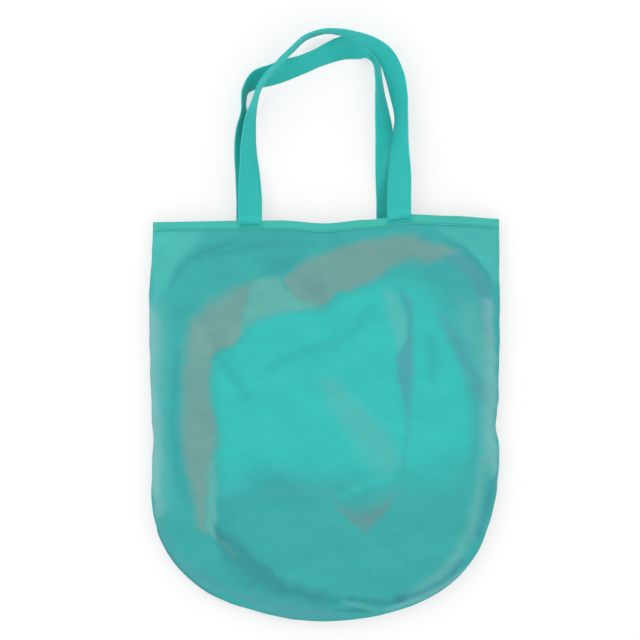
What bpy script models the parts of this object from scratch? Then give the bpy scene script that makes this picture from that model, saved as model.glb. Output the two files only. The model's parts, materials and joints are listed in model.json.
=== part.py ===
"""A mesh produce bag lying flat on its back: two net panels, bound mouth, bound seam and two strap handles.

Metres, +Z up. The bag lies in the XY plane with its mouth and handles towards +Y and its front facing +Z.
The origin is the middle of the footprint, on the surface that the bag lies on.
"""

import math

import bmesh
import bpy
from mathutils import Vector

# Bag outline
BAG_WIDTH = 0.364
MOUTH_WIDTH = 0.358
BAG_HEIGHT = 0.420
BOTTOM_DEPTH = 0.143
BOTTOM_FULLNESS = 2.2
SIDE_FLARE = 0.090

# Cloth, tape, strap and thread
CLOTH = 0.0006
TAPE = 0.0005
STRAP_WIDTH = 0.025
STRAP_THICKNESS = 0.0012
THREAD = 0.0005

# Clearances
GAP = 0.0003
FLOOR_GAP = 0.0002

# How the bag lies
SEAM_HEIGHT = 0.0085
MOUTH_GAPE = 0.0135
PUFF = 0.0215
PUFF_RUN = 0.085
HOLLOW = 0.006
HOLLOW_RADIUS = 0.120
FACE_SQUARENESS = 5.0
BACK_SQUARENESS = 3.0
BACK_FLAT = 0.5

# Seams
SEAM_ALLOWANCE = 0.009
SEAM_TURN = 0.0009
SEAM_TAPE_WIDTH = 0.006
BINDING_HEIGHT = 0.010
STITCH_MARGIN = 0.0018
STITCH_LENGTH = 0.004

# Handles
HANDLE_RISE = 0.197
STRAP_LAP = 0.007
STRAP_SPACING = 0.155
BACK_PUCKER = 0.009
BACK_SHIFT = -0.0065
STRAP_ROOT = 0.006
HANG_RUN = 0.070
TACK_MARGIN = 0.0022
TACK_HEIGHT = 0.0026
TACK_TURNS = 9

# Faces
FACE_COLUMNS = 22
BODY_ROWS = 9
BOTTOM_ROWS = 9
ROUTE_STEPS = 3

# Places worked out from the sizes
LENGTH = BAG_HEIGHT + HANDLE_RISE
MOUTH_Y = LENGTH / 2 - HANDLE_RISE
STRAIGHT = BAG_HEIGHT - BOTTOM_DEPTH
BOTTOM_START_Y = MOUTH_Y - STRAIGHT
PANEL_TOP = TAPE + GAP
LEAF_OFFSET = CLOTH / 2 + GAP + TAPE / 2
BINDING_HALF = LEAF_OFFSET + TAPE / 2
FLAT_AT_MOUTH = BINDING_HEIGHT + 2 * GAP
SEAM_TAPE_START = FLAT_AT_MOUTH + BINDING_HEIGHT
HOLLOW_Y = BOTTOM_START_Y + HOLLOW_RADIUS / 2
SEAM_FOLD = 2 * CLOTH
FRONT_STRAP_X = (-STRAP_SPACING / 2, STRAP_SPACING / 2)
BACK_SPACING = STRAP_SPACING - BACK_PUCKER
BACK_STRAP_X = (BACK_SHIFT - BACK_SPACING / 2, BACK_SHIFT + BACK_SPACING / 2)

# The stack of layers at the mouth, from the surface up
BACK_TACK_Z = FLOOR_GAP + THREAD / 2
BACK_STRAP_Z = FLOOR_GAP + THREAD + GAP + STRAP_THICKNESS / 2
BACK_MOUTH_Z = BACK_STRAP_Z + STRAP_THICKNESS / 2 + GAP + BINDING_HALF
FRONT_MOUTH_Z = BACK_MOUTH_Z + 2 * BINDING_HALF + MOUTH_GAPE
FRONT_STRAP_Z = FRONT_MOUTH_Z + BINDING_HALF + GAP + STRAP_THICKNESS / 2
FRONT_TACK_Z = FRONT_STRAP_Z + STRAP_THICKNESS / 2 + GAP + THREAD / 2
BACK_FLOOR_Z = CLOTH / 2
FRONT_HINGE_Z = FRONT_STRAP_Z + STRAP_THICKNESS / 2 + GAP
BACK_HINGE_Z = BACK_STRAP_Z - STRAP_THICKNESS / 2 - GAP

# Routes of the handles as they lie: across from the bag's middle line and out from the mouth in metres, how
# many strap widths the lower edge is held up, and the strap's lean in degrees. At 0 the strap lies flat, and
# a positive lean lifts the edge that is outside the loop.
FRONT_ROUTE = [
    (-0.0780, 0.0190, 0.00, 8),
    (-0.0785, 0.0380, 0.10, 25),
    (-0.0790, 0.0560, 0.22, 42),
    (-0.0796, 0.0760, 0.22, 52),
    (-0.0776, 0.1020, 0.18, 64),
    (-0.0724, 0.1230, 0.28, 77),
    (-0.0650, 0.1410, 0.48, 79),
    (-0.0475, 0.1610, 0.66, 79),
    (-0.0325, 0.1760, 0.55, 79),
    (-0.0185, 0.1880, 0.36, 80),
    (0.0045, 0.1940, 0.30, 80),
    (0.0307, 0.1890, 0.48, 71),
    (0.0504, 0.1800, 0.54, 58),
    (0.0645, 0.1670, 0.56, 45),
    (0.0730, 0.1480, 0.34, 38),
    (0.0775, 0.1280, 0.12, 45),
    (0.0800, 0.1040, 0.02, 57),
    (0.0785, 0.0730, 0.23, 42),
    (0.0780, 0.0400, 0.10, 15),
    (0.0776, 0.0180, 0.00, 3),
]
BACK_ROUTE = [
    (-0.0806, 0.0190, 0.00, 3),
    (-0.0816, 0.0400, 0.00, 12),
    (-0.0842, 0.0710, 0.00, 30),
    (-0.0857, 0.0920, 0.00, 54),
    (-0.0843, 0.1100, 0.00, 76),
    (-0.0827, 0.1220, 0.00, 80),
    (-0.0795, 0.1330, 0.00, 72),
    (-0.0695, 0.1435, 0.00, 42),
    (-0.0567, 0.1488, 0.00, 33),
    (-0.0410, 0.1542, 0.00, 32),
    (-0.0234, 0.1600, 0.00, 43),
    (-0.0047, 0.1680, 0.00, 42),
    (0.0160, 0.1765, 0.00, 20),
    (0.0328, 0.1780, 0.00, -4),
    (0.0455, 0.1745, 0.00, -36),
    (0.0530, 0.1630, 0.00, -70),
    (0.0560, 0.1440, 0.00, -73),
    (0.0579, 0.1230, 0.00, -63),
    (0.0604, 0.1020, 0.00, -50),
    (0.0624, 0.0800, 0.00, -38),
    (0.0645, 0.0480, 0.00, -18),
    (0.0660, 0.0200, 0.00, -2),
]

# Colours as linear RGB
NET_COLOUR = (0.045, 0.500, 0.455)
TAPE_COLOUR = (0.040, 0.520, 0.445)
STRAP_COLOUR = (0.042, 0.520, 0.470)
THREAD_COLOUR = (0.030, 0.380, 0.350)


def smooth(share):
    """0 to 1 with level ends."""
    share = min(max(share, 0.0), 1.0)
    return share * share * (3 - 2 * share)


def half_width(y):
    flare = smooth((MOUTH_Y - y) / SIDE_FLARE)
    return (MOUTH_WIDTH + (BAG_WIDTH - MOUTH_WIDTH) * flare) / 2


def outline(across, down, inset):
    """A point of the bag's plan. across runs -1 to 1 from side to side. down runs 0 to 1 along the straight
    sides from the mouth, and 1 to 2 round the bottom. inset draws the sides and the bottom in."""
    n = BOTTOM_FULLNESS
    straight = min(down, 1.0)
    bottom = max(down - 1.0, 0.0)
    y = MOUTH_Y - PANEL_TOP - straight * (STRAIGHT - PANEL_TOP)
    x = (half_width(y) - inset) * across * (1 - bottom**n / 2) ** (1 / n)
    y -= (BOTTOM_DEPTH - inset) * bottom * (1 - abs(across) ** n / 2) ** (1 / n)
    return x, y


def nearness(x, y):
    """0 on the bag's middle line, 1 on its outline."""
    n = BOTTOM_FULLNESS
    side = abs(x) / half_width(y)
    below = max(BOTTOM_START_Y - y, 0.0) / BOTTOM_DEPTH
    return min((side**n + below**n) ** (1 / n), 1.0)


def bulge(x, y, squareness, flat):
    """How full the bag is: 1 where it is flat in the middle, falling steeply to 0 at the outline."""
    past_flat = max(nearness(x, y) - flat, 0.0) / (1 - flat)
    return math.sqrt(1 - past_flat**squareness)


def away_from_mouth(y):
    return smooth((MOUTH_Y - FLAT_AT_MOUTH - y) / PUFF_RUN)


def front_height(x, y):
    edge = SEAM_HEIGHT + SEAM_FOLD
    mouth = FRONT_MOUTH_Z - edge
    rise = mouth + (PUFF - mouth) * away_from_mouth(y)
    inside = 1 - (x**2 + (y - HOLLOW_Y) ** 2) / HOLLOW_RADIUS**2
    return edge + rise * bulge(x, y, FACE_SQUARENESS, 0.0) - HOLLOW * max(inside, 0.0) ** 2


def back_height(x, y):
    edge = SEAM_HEIGHT - SEAM_FOLD
    low = BACK_MOUTH_Z + (BACK_FLOOR_Z - BACK_MOUTH_Z) * away_from_mouth(y)
    return edge + (low - edge) * bulge(x, y, BACK_SQUARENESS, BACK_FLAT)


def material(name, colour, roughness, alpha=1.0):
    made = bpy.data.materials.new(name)
    made.use_nodes = True
    shader = made.node_tree.nodes["Principled BSDF"]
    shader.inputs["Base Color"].default_value = (*colour, 1)
    shader.inputs["Roughness"].default_value = roughness
    shader.inputs["Metallic"].default_value = 0.0
    shader.inputs["Alpha"].default_value = alpha
    return made


def add_piece(name, data, finish, collection):
    piece = bpy.data.objects.new(name, data)
    data.materials.append(finish)
    collection.objects.link(piece)
    return piece


def add_thickness(piece, thickness):
    solid = piece.modifiers.new("thickness", "SOLIDIFY")
    solid.thickness = thickness
    solid.offset = 0
    solid.use_even_offset = True
    solid.use_quality_normals = True


def add_sheet(name, place, columns, rows, thickness, finish, collection):
    """A piece of cloth or tape: a grid set out by place(u, v), with u and v from 0 to 1."""
    shape = bmesh.new()
    bmesh.ops.create_grid(shape, x_segments=columns, y_segments=rows, size=0.5)
    for corner in shape.verts:
        corner.co = place(corner.co.x + 0.5, corner.co.y + 0.5)
    bmesh.ops.recalc_face_normals(shape, faces=shape.faces)
    mesh = bpy.data.meshes.new(name)
    shape.to_mesh(mesh)
    shape.free()
    mesh.shade_smooth()
    piece = add_piece(name, mesh, finish, collection)
    add_thickness(piece, thickness)
    return piece


def acrosses():
    """Columns of a panel's grid, close together at the sides."""
    return [math.sin(math.pi * (i / FACE_COLUMNS - 0.5)) for i in range(FACE_COLUMNS + 1)]


def downs():
    """Rows of a panel's grid, close together under the binding and at the bottom edge."""
    body = STRAIGHT - SEAM_TAPE_START
    depths = [0.0, BINDING_HEIGHT / 2, FLAT_AT_MOUTH]
    depths += [SEAM_TAPE_START + body * i / BODY_ROWS for i in range(BODY_ROWS + 1)]
    bottom = [1 + math.sin(math.pi / 2 * i / BOTTOM_ROWS) for i in range(1, BOTTOM_ROWS + 1)]
    return [depth / STRAIGHT for depth in depths] + bottom


def rim():
    """The columns and rows of a panel's rim, down the left side, along the bottom and up the right side."""
    side = [down for down in downs() if down * STRAIGHT > SEAM_TAPE_START - GAP]
    left = [(-1.0, down) for down in side]
    bottom = [(across, side[-1]) for across in acrosses()[1:-1]]
    right = [(1.0, down) for down in reversed(side)]
    return left + bottom + right


def add_panel(name, height, fold_side, finish, collection):
    """One net panel. Its face follows height(x, y). Round the sides and the bottom its edge turns in to a
    seam allowance, which lies on the other panel's. fold_side is 1 on the front and -1 on the back."""
    columns, rows = acrosses(), downs()
    shape = bmesh.new()
    across_of = shape.verts.layers.float.new("across")
    down_of = shape.verts.layers.float.new("down")
    bmesh.ops.create_grid(shape, x_segments=len(columns) - 1, y_segments=len(rows) - 1, size=0.5)
    for corner in shape.verts:
        corner[across_of] = columns[round((corner.co.x + 0.5) * (len(columns) - 1))]
        corner[down_of] = rows[round((0.5 - corner.co.y) * (len(rows) - 1))]
        x, y = outline(corner[across_of], corner[down_of], 0.0)
        corner.co = (x, y, height(x, y))

    allowance_z = SEAM_HEIGHT + fold_side * (GAP + CLOTH) / 2
    edges = [edge for edge in shape.edges if edge.is_boundary and not is_mouth_edge(edge, down_of)]
    for inset in (SEAM_TURN, SEAM_ALLOWANCE):
        made = bmesh.ops.extrude_edge_only(shape, edges=edges)["geom"]
        for corner in made:
            if isinstance(corner, bmesh.types.BMVert):
                x, y = outline(corner[across_of], corner[down_of], allowance_inset(corner[down_of], inset))
                corner.co = (x, y, allowance_z)
        edges = [item for item in made if isinstance(item, bmesh.types.BMEdge)]
        edges = [edge for edge in edges if edge.is_boundary and is_along_rim(edge, across_of, down_of)]

    bmesh.ops.recalc_face_normals(shape, faces=shape.faces)
    mesh = bpy.data.meshes.new(name)
    shape.to_mesh(mesh)
    shape.free()
    mesh.shade_smooth()
    piece = add_piece(name, mesh, finish, collection)
    add_thickness(piece, CLOTH)
    return piece


def allowance_inset(down, inset):
    """How far in an edge of the seam allowance lies: it is trimmed away under the mouth's binding."""
    below_binding = (down * STRAIGHT - FLAT_AT_MOUTH) / (SEAM_TAPE_START - FLAT_AT_MOUTH)
    return SEAM_TURN + (inset - SEAM_TURN) * max(smooth(below_binding), GAP / SEAM_TURN)


def is_mouth_edge(edge, down_of):
    return all(corner[down_of] == 0.0 for corner in edge.verts)


def is_along_rim(edge, across_of, down_of):
    """True for an edge that runs along the outline, and not for one that runs in from it."""
    first, second = edge.verts
    return first[across_of] != second[across_of] or first[down_of] != second[down_of]


def add_binding(name, height, outer_side, finish, collection):
    """Tape folded over a panel's top edge: an outer leaf, the fold along the mouth, and an inner leaf."""
    leaf = BINDING_HEIGHT - TAPE / 2
    profile = [
        (leaf, outer_side),
        (leaf / 2, outer_side),
        (LEAF_OFFSET, outer_side),
        (TAPE / 2, 0.0),
        (LEAF_OFFSET, -outer_side),
        (leaf / 2, -outer_side),
        (leaf, -outer_side),
    ]

    columns = acrosses()[1:-1]

    def place(u, v):
        depth, side = profile[round(v * (len(profile) - 1))]
        y = MOUTH_Y - depth
        x = half_width(y) * columns[round(u * (len(columns) - 1))]
        return on_face(x, y, height, side * LEAF_OFFSET)

    return add_sheet(name, place, len(columns) - 1, len(profile) - 1, TAPE, finish, collection)


def on_face(x, y, height, off):
    """A point at the distance off from a panel's middle surface, square to the panel across its width."""
    step = CLOTH
    slope = (height(x + step, y) - height(x - step, y)) / (2 * step)
    length = math.hypot(slope, 1.0)
    return Vector((x - off * slope / length, y, height(x, y) + off / length))


def add_seam_tape(name, finish, collection):
    """Tape folded round the two seam allowances inside the bag, down one side, round the bottom and up."""
    leaf = CLOTH + 1.5 * GAP + TAPE / 2
    fold = SEAM_ALLOWANCE + GAP + TAPE / 2
    start = fold - SEAM_TAPE_WIDTH
    round_off = TAPE / 2
    upper = [(start, leaf), (fold - round_off, leaf), (fold, leaf - round_off)]
    profile = upper + [(inset, -off) for inset, off in reversed(upper)]
    stations = rim()

    def place(u, v):
        across, down = stations[round(u * (len(stations) - 1))]
        inset, off = profile[round(v * (len(profile) - 1))]
        x, y = outline(across, down, inset)
        return Vector((x, y, SEAM_HEIGHT + off))

    return add_sheet(name, place, len(stations) - 1, len(profile) - 1, TAPE, finish, collection)


def add_tube(name, points, finish, collection, origin, width=0.0, depth=THREAD / 2, leans=None):
    """A round thread along the points, or with a width a flat strap that leans as told, in degrees."""
    curve = bpy.data.curves.new(name, "CURVE")
    curve.dimensions = "3D"
    curve.twist_mode = "Z_UP"
    curve.bevel_depth = depth
    curve.bevel_resolution = 0
    curve.extrude = width / 2
    curve.use_fill_caps = True
    spline = curve.splines.new("POLY")
    spline.points.add(len(points) - 1)
    for index, point in enumerate(points):
        spline.points[index].co = (*(Vector(point) - origin), 1)
        if leans:
            spline.points[index].tilt = math.radians(90 + leans[index])
    piece = add_piece(name, curve, finish, collection)
    piece.location = origin
    return piece


def spaced(stations, steps):
    """Points on a smooth curve through the stations, with the first and the last span left straight."""
    points = [stations[0]]
    for i in range(1, len(stations) - 2):
        around = stations[i - 1 : i + 3]
        for k in range(steps):
            points.append(between(around, k / steps))
    return points + stations[-2:]


def between(around, t):
    """A point of the smooth curve between the second and third of four stations."""
    point = []
    for a, b, c, d in zip(*around):
        bend = (c - a) * t + (2 * a - 5 * b + 4 * c - d) * t**2 + (3 * b - a - 3 * c + d) * t**3
        point.append(b + bend / 2)
    return tuple(point)


def handle_stations(route, root_x, root_low):
    """A route fitted between its strap ends and up to the handles' rise, with heights in metres."""
    first, last = route[0][0], route[-1][0]
    _, top_out, _, top_lean = max(FRONT_ROUTE, key=lambda station: station[1])
    tilt = math.radians(top_lean)
    top_edge = (STRAP_WIDTH * math.cos(tilt) + STRAP_THICKNESS * math.sin(tilt)) / 2
    stretch = (HANDLE_RISE - top_edge) / top_out
    stations = [(root_x[0], GAP / 2, root_low, 0), (root_x[0], STRAP_ROOT, root_low, 0)]
    for across, out, lifts, lean in route:
        x = root_x[0] + (across - first) * (root_x[1] - root_x[0]) / (last - first)
        hang = (root_low - FLOOR_GAP) * (1 - smooth(out / HANG_RUN))
        stations.append((x, out * stretch, FLOOR_GAP + hang + lifts * STRAP_WIDTH, lean))
    return stations + [(root_x[1], STRAP_ROOT, root_low, 0), (root_x[1], GAP / 2, root_low, 0)]


def add_handle(name, route, root_x, root_z, hinge_z, finish, collection):
    """The free loop of a strap, from fold line to fold line at the mouth."""
    points, leans = [], []
    stations = handle_stations(route, root_x, root_z - STRAP_THICKNESS / 2)
    for x, out, lower_edge, lean in spaced(stations, ROUTE_STEPS):
        tilt = math.radians(lean)
        half_height = (STRAP_WIDTH * abs(math.sin(tilt)) + STRAP_THICKNESS * math.cos(tilt)) / 2
        points.append((x, MOUTH_Y + out, lower_edge + half_height))
        leans.append(lean)
    origin = Vector((0, MOUTH_Y, hinge_z))
    return add_tube(name, points, finish, collection, origin,
                    STRAP_WIDTH - STRAP_THICKNESS, STRAP_THICKNESS / 2, leans)


def add_strap_end(name, x, z, finish, collection):
    """The end of a strap that is sewn down on the mouth's binding."""
    points = [(x, MOUTH_Y - GAP / 2, z), (x, MOUTH_Y - STRAP_LAP, z)]
    return add_tube(name, points, finish, collection, Vector(points[1]),
                    STRAP_WIDTH - STRAP_THICKNESS, STRAP_THICKNESS / 2, [0, 0])


def add_tack(name, x, z, finish, collection):
    """A zigzag tack across a strap's sewn end."""
    reach = STRAP_WIDTH / 2 - TACK_MARGIN
    low = MOUTH_Y - STRAP_LAP + TACK_MARGIN / 2
    corners = 2 * TACK_TURNS + 1
    points = []
    for i in range(corners):
        points.append((x - reach + 2 * reach * i / (corners - 1), low + TACK_HEIGHT * (i % 2), z))
    return add_tube(name, points, finish, collection, Vector(points[0]))


def add_binding_stitch(name, height, outer_side, finish, collection):
    """The row of stitches that closes a binding, seen on its outer leaf."""
    y = MOUTH_Y - BINDING_HEIGHT + STITCH_MARGIN
    reach = half_width(y) * acrosses()[-3]
    ends = 2 * round(reach / STITCH_LENGTH)
    points = []
    for i in range(2 * ends + 1):
        x = reach * (i / ends - 1)
        lift = BINDING_HALF + GAP + THREAD / 2 + (GAP if i % 2 else 0.0)
        points.append(on_face(x, y, height, outer_side * lift))
    return add_tube(name, points, finish, collection, Vector(points[0]))


def main():
    for old in list(bpy.data.objects):
        bpy.data.objects.remove(old)
    bag = bpy.data.collections.new("mesh_produce_bag")
    bpy.context.scene.collection.children.link(bag)

    net = material("net_cloth", NET_COLOUR, 0.55, 0.9)
    tape = material("binding_tape", TAPE_COLOUR, 0.6)
    webbing = material("strap_webbing", STRAP_COLOUR, 0.65)
    thread = material("sewing_thread", THREAD_COLOUR, 0.5)

    add_panel("front_panel", front_height, 1, net, bag)
    add_panel("back_panel", back_height, -1, net, bag)
    add_binding("front_mouth_binding", front_height, 1, tape, bag)
    add_binding("back_mouth_binding", back_height, -1, tape, bag)
    add_seam_tape("seam_binding", tape, bag)
    add_binding_stitch("front_binding_stitch", front_height, 1, thread, bag)
    add_binding_stitch("back_binding_stitch", back_height, -1, thread, bag)

    add_handle("front_handle", FRONT_ROUTE, FRONT_STRAP_X, FRONT_STRAP_Z, FRONT_HINGE_Z, webbing, bag)
    add_handle("back_handle", BACK_ROUTE, BACK_STRAP_X, BACK_STRAP_Z, BACK_HINGE_Z, webbing, bag)
    for hand, x in zip(("left", "right"), FRONT_STRAP_X):
        add_strap_end(f"front_{hand}_strap_end", x, FRONT_STRAP_Z, webbing, bag)
        add_tack(f"front_{hand}_tack", x, FRONT_TACK_Z, thread, bag)
    for hand, x in zip(("left", "right"), BACK_STRAP_X):
        add_strap_end(f"back_{hand}_strap_end", x, BACK_STRAP_Z, webbing, bag)
        add_tack(f"back_{hand}_tack", x, BACK_TACK_Z, thread, bag)


main()
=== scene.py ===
import json
import math

import bmesh
import bpy
import numpy as np
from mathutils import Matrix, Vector


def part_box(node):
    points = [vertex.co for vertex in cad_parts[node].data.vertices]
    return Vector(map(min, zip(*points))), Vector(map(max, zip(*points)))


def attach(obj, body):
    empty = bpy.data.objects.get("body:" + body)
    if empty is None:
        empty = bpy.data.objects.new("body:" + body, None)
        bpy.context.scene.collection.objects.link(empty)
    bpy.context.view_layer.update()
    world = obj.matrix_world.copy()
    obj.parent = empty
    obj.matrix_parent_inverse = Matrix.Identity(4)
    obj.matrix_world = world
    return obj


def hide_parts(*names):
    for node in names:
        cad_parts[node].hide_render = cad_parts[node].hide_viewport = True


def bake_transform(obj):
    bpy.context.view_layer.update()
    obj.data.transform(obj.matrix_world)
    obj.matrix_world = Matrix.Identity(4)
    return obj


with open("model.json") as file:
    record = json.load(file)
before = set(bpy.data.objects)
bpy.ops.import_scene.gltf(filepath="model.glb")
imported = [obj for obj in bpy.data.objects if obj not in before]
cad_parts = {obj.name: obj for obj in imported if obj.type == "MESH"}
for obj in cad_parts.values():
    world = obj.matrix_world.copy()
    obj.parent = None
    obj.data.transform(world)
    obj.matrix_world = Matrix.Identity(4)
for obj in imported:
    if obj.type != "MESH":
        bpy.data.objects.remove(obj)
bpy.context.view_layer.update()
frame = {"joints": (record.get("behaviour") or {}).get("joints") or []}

# Sizes in metres. The bag lies on its back, mouth and handles towards +Y, front up.
MM = 0.001
GAP = 0.3 * MM
BAG_WIDTH = 364 * MM
MOUTH_WIDTH = 358 * MM
BAG_HEIGHT = 420 * MM
BOTTOM_DEPTH = 143 * MM
BOTTOM_FULLNESS = 2.2
SIDE_FLARE = 90 * MM
NET = 0.45 * MM
TAPE = 0.5 * MM
STRAP_WIDTH = 25 * MM
STRAP_THICKNESS = 0.9 * MM
SEWN_DOWN = 0.25 * MM
THREAD = 0.45 * MM
THREAD_SUNK = 0.1 * MM
SLOPE_STEP = 0.5 * MM

SEAM_HEIGHT = 8.5 * MM
SEAM_FOLD = 1.2 * MM
SEAM_TURN = 0.9 * MM
SEAM_ALLOWANCE = 9 * MM
SEAM_TAPE_WIDTH = 6 * MM
CLIPPED_CORNER = 5 * MM
CLIPPED_SHARE = 0.3
PUFF = 21.5 * MM
PUFF_RUN = 85 * MM
FRONT_SQUARENESS = 5.0
BACK_SQUARENESS = 3.0
BACK_FLAT = 0.5
HOLLOW = 6 * MM
HOLLOW_RADIUS = 120 * MM
BINDING_HEIGHT = 10 * MM
STRAP_LAP = 7 * MM
HANDLE_RISE = 197 * MM
STRAP_ROOT = 6 * MM
HANG_RUN = 70 * MM

# Places taken from the frame
swing = {joint["name"]: joint for joint in frame["joints"]}
MOUTH_Y = swing["front_handle_swing"]["pos_m"][1]
STRAIGHT = BAG_HEIGHT - BOTTOM_DEPTH
BOTTOM_START_Y = MOUTH_Y - STRAIGHT
HOLLOW_Y = BOTTOM_START_Y + HOLLOW_RADIUS / 2
PANEL_TOP = TAPE + GAP
FLAT_AT_MOUTH = BINDING_HEIGHT + 2 * GAP
SEAM_TAPE_START = FLAT_AT_MOUTH + BINDING_HEIGHT


def middle(node, axis):
    """Where the middle of a node of the frame lies on an axis."""
    low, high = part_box(node)
    return (low[axis] + high[axis]) / 2


FRONT_STRAP_X = (middle("front_left_strap_end", 0), middle("front_right_strap_end", 0))
BACK_STRAP_X = (middle("back_left_strap_end", 0), middle("back_right_strap_end", 0))
FRONT_STRAP_Z = middle("front_left_strap_end", 2)
BACK_STRAP_Z = middle("back_left_strap_end", 2)
FRONT_HEM_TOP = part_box("front_mouth_binding")[1].z
BACK_HEM_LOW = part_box("back_mouth_binding")[0].z
LEAF_OFFSET = NET / 2 + GAP + TAPE / 2
BINDING_HALF = LEAF_OFFSET + TAPE / 2
FRONT_MOUTH_Z = FRONT_HEM_TOP - BINDING_HALF
BACK_MOUTH_Z = BACK_HEM_LOW + BINDING_HALF


def colour(red, green, blue):
    """Linear RGB from the 0 to 255 values of a screen, by the sRGB curve."""
    shares = [value / 255 for value in (red, green, blue)]
    return tuple(s / 12.92 if s < 0.0404 else ((s + 0.055) / 1.055) ** 2.4 for s in shares)


# How the sheer cloth looks, lying smooth or in its folds, and the other cloths and the thread. Some of the
# front panel's colours are painted shade and painted highlights of its folds.
BRIGHT = colour(57, 191, 184)
RING = colour(63, 171, 168)
# Painted shade: darker teal in the creases and hollows and on the lower middle
DEEP_SHADE = colour(56, 163, 164)
SHADOW = colour(56, 144, 148)
# Painted shade on the lower right edge
DUSKY_SHADE = colour(68, 146, 158)
CORNER = colour(82, 188, 181)
BEIGE = colour(118, 161, 155)
LINEN = colour(127, 170, 161)
MIST = colour(104, 178, 169)
# Painted highlight: a pale wash on raised folds and along the sides
SOFT_HIGHLIGHT = colour(100, 184, 180)
# Painted shade, mauve-blue, on the folds and creases of the right half
MAUVE_SHADE = colour(84, 158, 168)
ROSE = colour(106, 149, 149)
# Painted highlight: pale light on the side rims, low ridges and the lower right
PALE_HIGHLIGHT = colour(135, 188, 187)
# Painted shade, bluish, on the lower left and along the bottom edge
BLUISH_SHADE = colour(90, 162, 168)
HEM_TINT = colour(66, 183, 170)
STRAP_TINT = colour(53, 189, 184)
THREAD_TINT = colour(48, 166, 158)
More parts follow.
